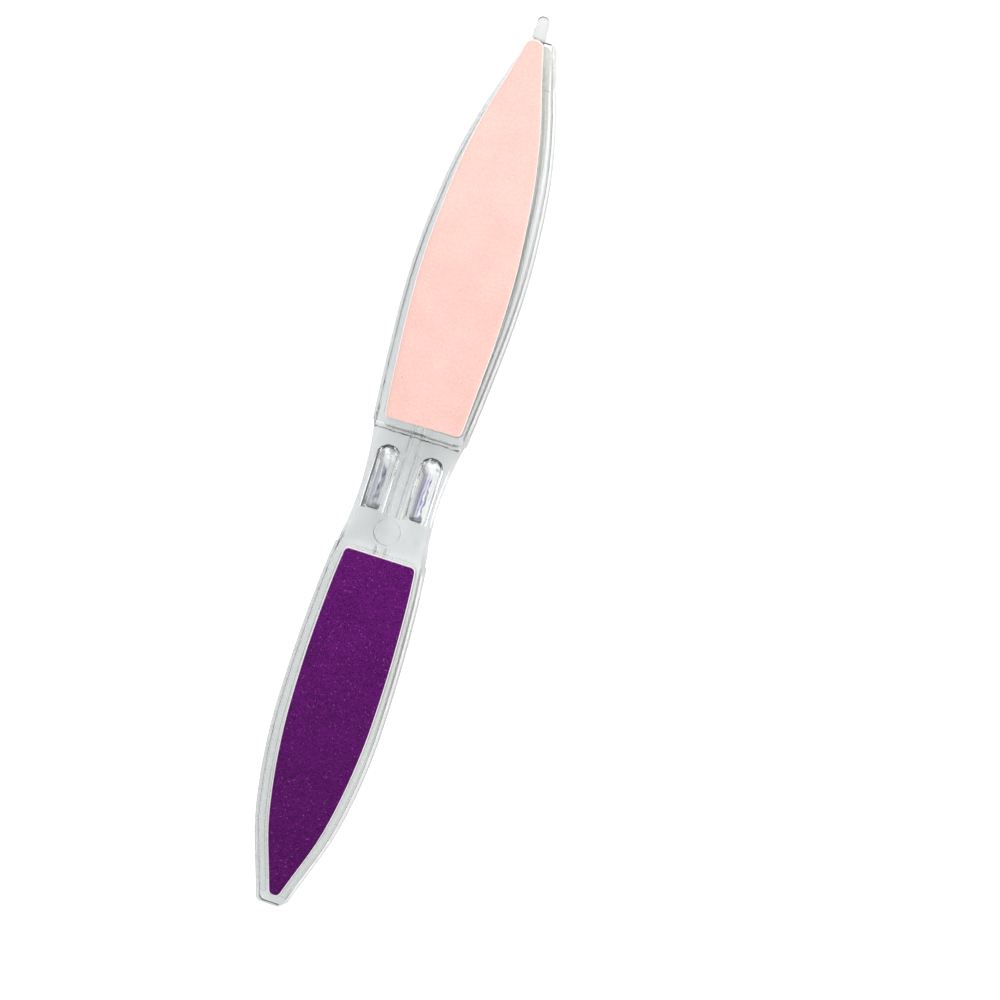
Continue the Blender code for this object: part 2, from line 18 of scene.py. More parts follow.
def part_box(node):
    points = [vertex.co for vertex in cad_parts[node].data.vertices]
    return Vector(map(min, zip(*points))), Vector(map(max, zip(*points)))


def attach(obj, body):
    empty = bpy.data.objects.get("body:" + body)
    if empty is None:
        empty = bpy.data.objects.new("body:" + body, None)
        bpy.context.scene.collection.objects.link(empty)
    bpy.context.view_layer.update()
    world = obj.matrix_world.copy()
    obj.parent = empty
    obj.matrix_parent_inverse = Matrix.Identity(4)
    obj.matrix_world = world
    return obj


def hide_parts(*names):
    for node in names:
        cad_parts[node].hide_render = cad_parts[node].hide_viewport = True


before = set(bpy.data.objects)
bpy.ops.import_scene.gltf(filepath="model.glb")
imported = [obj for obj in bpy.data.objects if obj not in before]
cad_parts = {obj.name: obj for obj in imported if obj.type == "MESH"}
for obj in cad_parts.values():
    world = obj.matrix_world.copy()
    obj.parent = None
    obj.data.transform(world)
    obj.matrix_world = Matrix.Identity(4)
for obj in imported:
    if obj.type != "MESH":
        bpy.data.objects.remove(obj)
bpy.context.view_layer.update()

LOG = logging.getLogger("nail_buffer")
MM = 0.001
ROOT = "root"
SHARP_EDGE = math.radians(40)
SAME_HEIGHT = 1e-7
SAME_POINT_DIGITS = 7
BLACK = (0.0, 0.0, 0.0)
Colour = tuple[float, float, float]
Place = tuple[float, float, float]
Factors = tuple[float, float, float]
Point = tuple[float, float]
Stops = Sequence[Point]


def srgb(red: float, green: float, blue: float) -> Colour:
    """Turns a colour as seen on a screen, 0 to 255, into linear light by the sRGB curve.

    Args:
        red: The red part.
        green: The green part.
        blue: The blue part.

    Returns:
        The three linear parts, 0 to 1.
    """
    parts = [part / 255 for part in (red, green, blue)]
    return tuple(p / 12.92 if p < 0.04045 else ((p + 0.055) / 1.055) ** 2.4 for p in parts)


class Face(Enum):
    """The two faces of the buffer, with the sign of their normal along Z."""

    FRONT = 1
    BACK = -1


class Blade(Enum):
    """The two blades of the buffer."""

    UPPER = "upper"
    LOWER = "lower"


class Detail(Enum):
    """How many finer layers a noise has."""

    SMOOTH = 1.0
    SOFT = 2.0
    ROUGH = 3.0
    BROKEN = 4.0


class Value:
    """A number socket of a node tree. Python's operators on it add Math nodes."""

    def __init__(self, tree: "Tree", socket: bpy.types.NodeSocket) -> None:
        """Wraps one socket of a tree."""
        self.tree = tree
        self.socket = socket

    def math(self, operation: str, first: Any, second: Any) -> "Value":
        """Adds one Math node.

        Args:
            operation: The node's operation, such as MULTIPLY.
            first: A number or a Value for its first socket.
            second: A number or a Value for its second socket.

        Returns:
            The node's result.
        """
        node = self.tree.node("ShaderNodeMath", {"operation": operation}, {0: first, 1: second})
        return Value(self.tree, node.outputs[0])

    def __add__(self, other: Any) -> "Value":
        """self + other."""
        return self.math("ADD", self, other)

    __radd__ = __add__

    def __sub__(self, other: Any) -> "Value":
        """self - other."""
        return self.math("SUBTRACT", self, other)

    def __rsub__(self, other: Any) -> "Value":
        """other - self."""
        return self.math("SUBTRACT", other, self)

    def __mul__(self, other: Any) -> "Value":
        """self * other."""
        return self.math("MULTIPLY", self, other)

    __rmul__ = __mul__

    def __truediv__(self, other: Any) -> "Value":
        """self / other."""
        return self.math("DIVIDE", self, other)

    def __rtruediv__(self, other: Any) -> "Value":
        """other / self."""
        return self.math("DIVIDE", other, self)

    def __gt__(self, other: Any) -> "Value":
        """1 where self is the greater, else 0."""
        return self.math("GREATER_THAN", self, other)

    def __lt__(self, other: Any) -> "Value":
        """1 where self is the smaller, else 0."""
        return self.math("LESS_THAN", self, other)

    def clamped(self) -> "Value":
        """self, kept between 0 and 1."""
        return self.math("MAXIMUM", self.math("MINIMUM", self, 1.0), 0.0)


class Tree:
    """The node tree of one new material or world."""

    def __init__(self, owner: bpy.types.Material | bpy.types.World) -> None:
        """Empties the tree and adds its output and its coordinates.

        Args:
            owner: The material or the world.
        """
        self.owner = owner
        owner.use_nodes = True
        self.nodes = owner.node_tree.nodes
        self.nodes.clear()
        of_world = isinstance(owner, bpy.types.World)
        self.output = self.node(f"ShaderNodeOutput{'World' if of_world else 'Material'}", {}, {})
        places = self.node("ShaderNodeTexCoord", {}, {}).outputs
        self.place = places["Generated" if of_world else "Object"]

    @classmethod
    def of_material(cls, name: str) -> "Tree":
        """The tree of a new material of this name."""
        return cls(bpy.data.materials.new(name))

    def node(self, kind: str, settings: dict[str, Any], inputs: dict[Any, Any]) -> bpy.types.Node:
        """Adds one node.

        Args:
            kind: The node's type.
            settings: Its settings, set first. "stops" holds a ramp's (place, grey) pairs.
            inputs: A number, colour, Value or socket for each socket, by name or number.

        Returns:
            The node.
        """
        made = self.nodes.new(kind)
        for key, setting in settings.items():
            if key == "stops":
                self.set_stops(made, setting)
            else:
                setattr(made, key, setting)
        for key, given in inputs.items():
            socket = made.inputs[key]
            source = given.socket if isinstance(given, Value) else given
            if isinstance(source, bpy.types.NodeSocket):
                self.owner.node_tree.links.new(source, socket)
            elif isinstance(source, tuple) and len(source) == 3 and socket.type == "RGBA":
                socket.default_value = (*source, 1.0)
            else:
                socket.default_value = source
        return made

    @staticmethod
    def set_stops(ramp: bpy.types.Node, stops: Stops) -> None:
        """Gives a colour ramp its grey stops.

        Args:
            ramp: The Color Ramp node.
            stops: Pairs of a place and a brightness.
        """
        elements = ramp.color_ramp.elements
        while len(elements) < len(stops):
            elements.new(1.0)
        for element, (place, grey) in zip(elements, stops):
            element.position = place
            element.color = (grey, grey, grey, 1.0)

    def stretched(self, factors: Factors) -> bpy.types.NodeSocket:
        """The object's coordinates times a factor along each axis: 0.1 draws out tenfold."""
        node = self.node("ShaderNodeMapping", {}, {"Vector": self.place, "Scale": factors})
        return node.outputs[0]

    def axis(self, name: str, vector: Any = None) -> Value:
        """One part, X, Y or Z, of a vector, or of the coordinates where none is given."""
        inputs = {0: self.place if vector is None else vector}
        return Value(self, self.node("ShaderNodeSeparateXYZ", {}, inputs).outputs[name])

    def share(self, name: str, low: float, high: float) -> Value:
        """A place along the axis X, Y or Z, as a share of the way from low to high."""
        return (self.axis(name) - low) / (high - low)

    def noise(self, size: float, detail: Detail, place: Any = None) -> Value:
        """Smooth noise.

        Args:
            size: The rough size of its patches in metres.
            detail: How many finer layers it has.
            place: The coordinates it uses, or None for the object's own.

        Returns:
            The noise, 0 to 1, with 0.5 in the middle.
        """
        where = self.place if place is None else place
        inputs = {"Vector": where, "Scale": 1 / size, "Detail": detail.value}
        return Value(self, self.node("ShaderNodeTexNoise", {}, inputs).outputs["Fac"])

    def cells(self, size: float) -> tuple[Value, Value]:
        """Random cells.

        Args:
            size: The rough size of a cell in metres.

        Returns:
            The distance from each cell's middle as a share of size, and the cell's random number.
        """
        inputs = {"Vector": self.place, "Scale": 1 / size}
        found = self.node("ShaderNodeTexVoronoi", {}, inputs)
        parts = self.node("ShaderNodeSeparateColor", {}, {0: found.outputs["Color"]})
        return Value(self, found.outputs["Distance"]), Value(self, parts.outputs[0])

    def ramp(self, value: Value, stops: Stops) -> Value:
        """A value sent through a curve of straight pieces.

        Args:
            value: The value, 0 to 1.
            stops: Pairs of a place and the result there.

        Returns:
            The result.
        """
        node = self.node("ShaderNodeValToRGB", {"stops": stops}, {0: value})
        return Value(self, node.outputs[0])

    def mix(self, factor: Any, first: Any, second: Any) -> bpy.types.NodeSocket:
        """A mix of two colours.

        Args:
            factor: How much of the second there is, 0 to 1.
            first: A colour or a colour socket.
            second: A colour or a colour socket.

        Returns:
            The mixed colour.
        """
        inputs = {0: factor, 6: first, 7: second}
        return self.node("ShaderNodeMix", {"data_type": "RGBA"}, inputs).outputs[2]

    def bump(self, height: Value, depth: float, strength: float, normal: Any = None) -> Any:
        """A bumped normal.

        Args:
            height: The height, 0 to 1.
            depth: The height of 1 in metres.
            strength: How much of the bump shows.
            normal: Another bump's normal to add to, or None.

        Returns:
            The normal's socket.
        """
        inputs = {"Height": height, "Distance": depth, "Strength": strength}
        if normal is not None:
            inputs["Normal"] = normal
        return self.node("ShaderNodeBump", {}, inputs).outputs[0]

    def principled(self, inputs: dict[str, Any]) -> bpy.types.NodeSocket:
        """A Principled shader's output."""
        return self.node("ShaderNodeBsdfPrincipled", {}, inputs).outputs[0]

    def finish(self, shader: bpy.types.NodeSocket) -> bpy.types.Material | bpy.types.World:
        """Connects the shader and gives the material or the world.

        Args:
            shader: The shader's output.

        Returns:
            The finished material or world.
        """
        self.owner.node_tree.links.new(shader, self.output.inputs["Surface"])
        return self.owner


@dataclass(frozen=True)
class ClearPlastic:
    """Clear moulded plastic: flow waves, a faint haze, fine scuffs, and streaks in the waist.

    Flat faces are painted lighter towards the tip, which is painted light. Upright walls take a
    painted
    tint of their own: painted shade where it is deeper than the faces' tint and painted light
    where it is lighter, lightest in the waist. The stops of the tip's painted light and of
    waist_ends follow shares of the way along the body and along the waist.
    """

    name: str
    tint: Colour
    # Painted light and shade: the tip's tint lightens flat faces towards the tip, and the wall
    # tints paint the upright walls' light and shade.
    painted_tip_tint: Colour
    painted_wall_tint: Colour
    waist_painted_wall_tint: Colour = (1.0, 1.0, 1.0)
    shadow_tint: Colour = (0.985, 0.988, 0.988)
    ior: float = 1.5
    body: Point = (-70 * MM, 66 * MM)
    # Painted light: how much lighter flat faces are, along the body.
    painted_tip_light: Stops = ((0.0, 0.0), (0.18, 0.22), (0.74, 0.3), (0.9, 0.66), (1.0, 1.0))
    waist: Point = (-17 * MM, 8 * MM)
    waist_ends: Stops = ((0.0, 0.0), (0.08, 1.0), (0.92, 1.0), (1.0, 0.0))
    steepness: Stops = ((0.45, 1.0), (0.97, 0.0))
    least_rough: float = 0.008
    haze: float = 0.02
    haze_size: float = 2.5 * MM
    haze_edge: Stops = ((0.45, 0.0), (0.75, 1.0))
    scuff_size: float = 0.22 * MM
    scuff_factors: Factors = (1.0, 0.04, 1.0)
    scuff_edge: Stops = ((0.66, 0.0), (0.72, 1.0))
    wave_size: float = 6 * MM
    wave_depth: float = 0.05 * MM
    wave_strength: float = 0.3
    streak_size: float = 0.7 * MM
    streak_factors: Factors = (1.0, 0.05, 1.0)
    streak_depth: float = 0.12 * MM
    streak_strength: float = 0.6

    def make(self) -> bpy.types.Material:
        """Builds the material."""
        tree = Tree.of_material(self.name)
        waist = tree.ramp(tree.share("Y", *self.waist), self.waist_ends)
        haze = tree.ramp(tree.noise(self.haze_size, Detail.ROUGH), self.haze_edge)
        lines = tree.noise(self.scuff_size, Detail.SMOOTH, tree.stretched(self.scuff_factors))
        scuffs = tree.ramp(lines, self.scuff_edge)
        waves = tree.noise(self.wave_size, Detail.SMOOTH)
        flow = tree.bump(waves, self.wave_depth, self.wave_strength)
        lines = tree.noise(self.streak_size, Detail.SMOOTH, tree.stretched(self.streak_factors))
        inputs = {
            "Base Color": self.colour(tree, waist),
            "Roughness": self.least_rough + haze * self.haze + scuffs * (2 * self.haze),
            "IOR": self.ior,
            "Transmission Weight": 1.0,
            "Normal": tree.bump(lines * waist, self.streak_depth, self.streak_strength, flow),
        }
        glass = tree.principled(inputs)
        clear = tree.node("ShaderNodeBsdfTransparent", {}, {0: self.shadow_tint}).outputs[0]
        shadow_ray = tree.node("ShaderNodeLightPath", {}, {}).outputs["Is Shadow Ray"]
        mixed = tree.node("ShaderNodeMixShader", {}, {0: shadow_ray, 1: glass, 2: clear})
        return tree.finish(mixed.outputs[0])

    def colour(self, tree: Tree, waist: Value) -> bpy.types.NodeSocket:
        """The plastic's colour: one tint on flat faces, painted lighter towards the tip, and a
        painted tint of light and shade on upright walls.

        Args:
            tree: The material's tree.
            waist: 1 in the waist, 0 in the blades.

        Returns:
            The colour.
        """
        normal = tree.node("ShaderNodeNewGeometry", {}, {}).outputs["True Normal"]
        level = tree.axis("Z", normal)
        # Painted light and shade: steep faces take the wall tints.
        walls = tree.ramp(level * level, self.steepness)
        # Painted light: flat faces turn lighter towards the tip.
        painted_tip_light = tree.ramp(tree.share("Y", *self.body), self.painted_tip_light)
        flat_tint = tree.mix(painted_tip_light, self.tint, self.painted_tip_tint)
        upright_tint = tree.mix(waist, self.painted_wall_tint, self.waist_painted_wall_tint)
        return tree.mix(walls, flat_tint, upright_tint)


@dataclass(frozen=True)
class PaintedReflection:
    """A painted reflection: a coloured streak along an insert. Its middle and reach are shares of
    the insert's width.
    """

    middle: float
    reach: float
    colour: Colour
    strength: float

    def stops(self) -> Stops:
        """How strong it is across the insert: full in its inner half, fading at both sides."""
        low, high, half = self.middle - self.reach, self.middle + self.reach, self.reach / 2
        return ((low, 0.0), (low + half, 1.0), (high - half, 1.0), (high, 0.0))


@dataclass(frozen=True)
class PolishedMetal:
    """Bright polished metal: broken coloured streaks and grey patches on the head, which are
    painted reflections, and a dull, dark lower end of painted shade.

    The stops of shank, head, foot_edge and dull_head follow shares of the insert's length.
    """

    name: str
    low: Vector
    high: Vector
    # Painted reflections: coloured streaks that stand in for what the metal mirrors.
    streaks: tuple[PaintedReflection, ...]
    bright: Colour = (0.97, 0.97, 0.98)
    # Painted reflection: the colour of the grey patches on the head.
    cloud: Colour = (0.55, 0.56, 0.55)
    # Painted shade: the dark colour at the insert's lower end.
    painted_foot_shade: Colour = (0.10, 0.10, 0.12)
    cover: float = 0.8
    shank: Stops = ((0.06, 0.2), (0.2, 1.0), (0.66, 1.0), (0.8, 0.0))
    head: Stops = ((0.72, 0.0), (0.80, 1.0))
    foot_edge: Stops = ((0.07, 1.0), (0.12, 0.0))
    wander_size: float = 1.6 * MM
    wander_factors: Factors = (1.0, 0.5, 1.0)
    reflection_wander: float = 0.35
    shank_wander: float = 0.3
    foot_wander: float = 0.5
    break_size: float = 0.4 * MM
    break_factors: Factors = (1.0, 0.4, 1.0)
    break_edge: Stops = ((0.4, 1.0), (0.6, 0.6))
    cloud_size: float = 1.1 * MM
    cloud_edge: Stops = ((0.47, 0.0), (0.51, 1.0))
    ring_size: float = 0.12 * MM
    ring_factors: Factors = (0.05, 1.0, 0.05)
    ring_depth: float = 0.02 * MM
    ring_strength: float = 0.25
    ring_rough: float = 0.2
    rough: float = 0.34
    dull_head: Stops = ((0.75, 0.0), (0.9, 0.3))

    def make(self) -> bpy.types.Material:
        """Builds the material."""
        tree = Tree.of_material(self.name)
        along = tree.share("Y", self.low.y, self.high.y)
        rings = tree.noise(self.ring_size, Detail.SOFT, tree.stretched(self.ring_factors))
        dull = tree.ramp(along, self.dull_head)
        inputs = {
            "Base Color": self.colour(tree, along),
            "Metallic": 1.0,
            "Roughness": self.rough + rings * self.ring_rough + dull,
            "Normal": tree.bump(rings, self.ring_depth, self.ring_strength),
        }
        return tree.finish(tree.principled(inputs))

    def colour(self, tree: Tree, along: Value) -> bpy.types.NodeSocket:
        """The metal's colour: bright, then the head's painted reflection patches, the painted
        reflection streaks and the painted shade of the lower end.

        Args:
            tree: The material's tree.
            along: The share of the way along the insert.

        Returns:
            The colour.
        """
        stretched = tree.stretched(self.wander_factors)
        wander = tree.noise(self.wander_size, Detail.BROKEN, stretched) - 0.5
        across = tree.share("X", self.low.x, self.high.x) + wander * self.reflection_wander
        shank = tree.ramp(along + wander * self.shank_wander, self.shank)
        gaps = tree.noise(self.break_size, Detail.SOFT, tree.stretched(self.break_factors))
        broken = tree.ramp(gaps, self.break_edge)
        # Painted reflection: grey patches on the head.
        clouds = tree.ramp(tree.noise(self.cloud_size, Detail.ROUGH), self.cloud_edge)
        painted_head_reflection = clouds * tree.ramp(along, self.head)
        colour = tree.mix(painted_head_reflection * self.cover, self.bright, self.cloud)
        # Painted reflections: coloured streaks along the shank.
        for streak in self.streaks:
            band = tree.ramp(across, streak.stops()) * shank * broken
            colour = tree.mix(band * streak.strength, colour, streak.colour)
        # Painted shade: a ragged dark band at the insert's lower end.
        ragged = tree.ramp(along + wander * self.foot_wander, self.foot_edge)
        return tree.mix(ragged * self.cover, colour, self.painted_foot_shade)


@dataclass(frozen=True)
class CellFoam:
    """White closed-cell foam, whose cut edge shows its cells, with painted shade in the cells'
    pits.
    """

    name: str
    wall: Colour = srgb(250, 249, 247)
    # Painted shade: the colour deep in the cells' pits.
    painted_pit_shade: Colour = srgb(232, 229, 226)
    painted_pit_shade_cover: float = 0.8
    cell: float = 0.14 * MM
    pit_narrowness: float = 1.6
    shallowest: float = 0.6
    depth: float = 0.05 * MM
    strength: float = 0.5
    blotch: Colour = srgb(236, 229, 220)
    blotch_size: float = 3 * MM
    blotch_cover: float = 0.12
    rough: float = 0.82
    pit_rough: float = 0.12
    shine: float = 0.25

    def make(self) -> bpy.types.Material:
        """Builds the material."""
        tree = Tree.of_material(self.name)
        distance, own = tree.cells(self.cell)
        depth = self.shallowest + own * (1 - self.shallowest)
        pit = (1 - distance * self.pit_narrowness).clamped() * depth
        blotches = tree.noise(self.blotch_size, Detail.SOFT)
        # Painted shade: the cells' pits are darker.
        colour = tree.mix(pit * self.painted_pit_shade_cover, self.wall, self.painted_pit_shade)
        colour = tree.mix(blotches * self.blotch_cover, colour, self.blotch)
        inputs = {
            "Base Color": colour,
            "Roughness": self.rough + pit * self.pit_rough,
            "Specular IOR Level": self.shine,
            "Normal": tree.bump(1 - pit, self.depth, self.strength),
        }
        return tree.finish(tree.principled(inputs))


@dataclass(frozen=True)
class Tape:
    """Thin double-sided tape: off-white glue on a fibre film, with small trapped bubbles."""

    name: str
    film: Colour = srgb(238, 236, 228)
    bubble: Colour = srgb(252, 251, 246)
    bubble_cell: float = 1.1 * MM
    bubble_radius_share: float = 0.33
    bare_share: float = 0.55
    bubble_cover: float = 0.7
    bubble_rough: float = 0.15
    fibre: Colour = srgb(222, 219, 210)
    fibre_size: float = 0.35 * MM
    fibre_factors: Factors = (1.0, 0.15, 1.0)
    fibre_cover: float = 0.25
    fibre_rough: float = 0.2
    fibre_depth: float = 0.02 * MM
    fibre_strength: float = 0.4
    rough: float = 0.34

    def make(self) -> bpy.types.Material:
        """Builds the material."""
        tree = Tree.of_material(self.name)
        distance, own = tree.cells(self.bubble_cell)
        bubbles = (self.bubble_radius_share - distance > 0) * (own > self.bare_share)
        fibres = tree.noise(self.fibre_size, Detail.SOFT, tree.stretched(self.fibre_factors))
        colour = tree.mix(bubbles * self.bubble_cover, self.film, self.bubble)
        colour = tree.mix(fibres * self.fibre_cover, colour, self.fibre)
        inputs = {
            "Base Color": colour,
            "Roughness": self.rough + fibres * self.fibre_rough + bubbles * self.bubble_rough,
            "Normal": tree.bump(fibres, self.fibre_depth, self.fibre_strength),
        }
        return tree.finish(tree.principled(inputs))


@dataclass(frozen=True)
class Grit:
    """Abrasive grains in coloured resin on paper: mottling, grains, specks, painted glints, and a
    slow painted shade towards the lower end of its span.

    The radius of a speck or a glint is a share of its cell, and grain_cells is a cell in grains.
    """

    name: str
    dark: Colour
    light: Colour
    speck: Colour
    glint: Colour
    grain: float
    span: Point
    # Painted shade: how much darker the sheet turns towards the lower end of its span.
    painted_shade: float = 0.04
    shine: float = 0.25
    rough: float = 0.8
    grain_rough: float = 0.12
    grain_edge: Stops = ((0.25, 0.0), (0.75, 1.0))
    grain_cells: float = 1.4
    grain_depth: float = 0.03 * MM
    grain_strength: float = 0.7
    mottle: float = 5 * MM
    mottle_share: float = 0.25
    mottle_edge: Stops = ((0.3, 0.0), (0.7, 1.0))
    mottle_depth: float = 0.04 * MM
    mottle_strength: float = 0.25
    speck_cell: float = 2.4 * MM
    speck_share: float = 0.12
    speck_radius_share: float = 0.05
    speck_evenness: float = 0.6
    speck_cover: float = 0.85
    glint_share: float = 0.01
    least_glint_share: float = 0.001
    glint_radius_share: float = 0.36
    glint_polish: float = 0.4

    def make(self) -> bpy.types.Material:
        """Builds the material."""
        tree = Tree.of_material(self.name)
        fine = tree.noise(self.grain, Detail.SMOOTH)
        wide = tree.noise(self.mottle, Detail.ROUGH)
        distance, own = tree.cells(self.grain * self.grain_cells)
        # Painted glints: a few grains take a lighter colour, and a smoother finish.
        chance = (own - (1 - self.glint_share)) / max(self.glint_share, self.least_glint_share)
        glints = chance.clamped() * (self.glint_radius_share - distance > 0)
        grains = tree.bump(1 - distance, self.grain_depth, self.grain_strength)
        inputs = {
            "Base Color": self.colour(tree, fine, wide, glints),
            "Roughness": self.rough + fine * self.grain_rough - glints * self.glint_polish,
            "Specular IOR Level": self.shine,
            "Normal": tree.bump(wide, self.mottle_depth, self.mottle_strength, grains),
        }
        return tree.finish(tree.principled(inputs))

    def colour(self, tree: Tree, fine: Value, wide: Value, glints: Value) -> bpy.types.NodeSocket:
        """The sheet's colour.

        Args:
            tree: The material's tree.
            fine: The noise of the grains.
            wide: The noise of the mottling.
            glints: How much each grain glints, 0 to 1.

        Returns:
            The colour, a little darker towards the lower end of the span, as painted shade.
        """
        level = tree.ramp(fine, self.grain_edge) * (1 - self.mottle_share)
        level = level + tree.ramp(wide, self.mottle_edge) * self.mottle_share
        colour = tree.mix(level, self.dark, self.light)
        colour = tree.mix(glints, colour, self.glint)
        distance, own = tree.cells(self.speck_cell)
        inside = self.speck_radius_share - distance * (self.speck_evenness + fine) > 0
        specks = (own > 1 - self.speck_share) * inside
        colour = tree.mix(specks * self.speck_cover, colour, self.speck)
        # Painted shade: darker towards the lower end of the span.
        darker = tree.ramp(tree.share("Y", *self.span), ((0.0, 1.0), (1.0, 0.0)))
        return tree.mix(darker * self.painted_shade, colour, BLACK)


@dataclass(frozen=True)
class PaleFloor:
    """A matt white table top that glows a little, so that it stays white."""

    name: str
    colour: Colour = (0.93, 0.93, 0.93)
    cloud: Colour = (0.85, 0.85, 0.86)
    cloud_size: float = 90 * MM
    cloud_cover: float = 0.04
    rough: float = 0.9
    glow: float = 0.35

    def make(self) -> bpy.types.Material:
        """Builds the material."""
        tree = Tree.of_material(self.name)
        clouds = tree.noise(self.cloud_size, Detail.SOFT)
        inputs = {
            "Base Color": tree.mix(clouds * self.cloud_cover, self.colour, self.cloud),
            "Roughness": self.rough,
            "Emission Color": self.colour,
            "Emission Strength": self.glow,
        }
        return tree.finish(tree.principled(inputs))


def link(name: str, shape: bmesh.types.BMesh, material: bpy.types.Material) -> bpy.types.Object:
    """Makes an object from a bmesh, which is freed.

    Args:
        name: The object's name.
        shape: Its mesh.
        material: Its material.

    Returns:
        The object, in the scene.
    """
    bmesh.ops.recalc_face_normals(shape, faces=shape.faces)
    mesh = bpy.data.meshes.new(name)
    shape.to_mesh(mesh)
    shape.free()
    mesh.shade_smooth()
    mesh.set_sharp_from_angle(angle=SHARP_EDGE)
    mesh.materials.append(material)
    made = bpy.data.objects.new(name, mesh)
    bpy.context.scene.collection.objects.link(made)
    return made


def dress(name: str, material: bpy.types.Material) -> bpy.types.Object:
    """Puts a material in every slot of a CAD node.

    Args:
        name: The node's name.
        material: The material.

    Returns:
        The node's object.
    """
    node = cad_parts[name]
    for slot in node.material_slots:
        slot.material = material
    return node


def outline_of(node: bpy.types.Object) -> np.ndarray:
    """Finds the outline of a flat CAD layer.

    Args:
        node: The layer's object.

    Returns:
        The points of its upper face's edge, in order, as an array of X and Y.
    """
    mesh = node.data
    top = max(vertex.co.z for vertex in mesh.vertices)
    digits = SAME_POINT_DIGITS
    counts: dict[frozenset[Point], int] = {}
    for polygon in mesh.polygons:
        corners = [mesh.vertices[index].co for index in polygon.vertices]
        if min(corner.z for corner in corners) < top - SAME_HEIGHT:
            continue
        keys = [(round(corner.x, digits), round(corner.y, digits)) for corner in corners]
        for first, second in zip(keys, keys[1:] + keys[:1]):
            edge = frozenset((first, second))
            counts[edge] = counts.get(edge, 0) + 1
    following: dict[Point, list[Point]] = {}
    for edge in [edge for edge, count in counts.items() if count == 1]:
        first, second = tuple(edge)
        following.setdefault(first, []).append(second)
        following.setdefault(second, []).append(first)
    start = max(following, key=lambda point: (point[1], point[0]))
    points, last = [start], None
    while True:
        here = points[-1]
        ahead = [point for point in following[here] if point != last]
        last = here
        if ahead[0] == start:
            break
        points.append(ahead[0])
    return np.array(points)


def evenly(points: np.ndarray, step: float) -> np.ndarray:
    """Spaces the points of a closed outline evenly, anticlockwise.

    Args:
        points: The outline.
        step: The rough distance between two points, in metres.

    Returns:
        An even number of points.
    """
    after = np.roll(points, -1, axis=0)
    area = np.sum(points[:, 0] * after[:, 1] - points[:, 1] * after[:, 0])
    ordered = points if area > 0 else points[::-1]
    closed = np.vstack([ordered, ordered[:1]])
    along = np.concatenate([[0.0], np.cumsum(np.linalg.norm(np.diff(closed, axis=0), axis=1))])
    count = 2 * int(along[-1] / step / 2)
    places = np.linspace(0, along[-1], count, endpoint=False)
    return np.column_stack([np.interp(places, along, closed[:, axis]) for axis in (0, 1)])


def inset(points: np.ndarray, distance: float) -> np.ndarray:
    """Moves an anticlockwise outline inwards.

    Args:
        points: The outline.
        distance: How far, in metres.

    Returns:
        The moved outline.
    """
    along = np.roll(points, -1, axis=0) - np.roll(points, 1, axis=0)
    along /= np.linalg.norm(along, axis=1)[:, None]
    inwards = np.column_stack([-along[:, 1], along[:, 0]])
    return points + inwards * distance


def join_rings(shape: bmesh.types.BMesh, rings: Sequence[list[Any]]) -> None:
    """Adds a band of faces between each ring of points and the next.

    Args:
        shape: The mesh.
        rings: Rings of the same number of points.
    """
    for ring, following in zip(rings, rings[1:]):
        for index in range(len(ring)):
            after = (index + 1) % len(ring)
            shape.faces.new((ring[index], ring[after], following[after], following[index]))


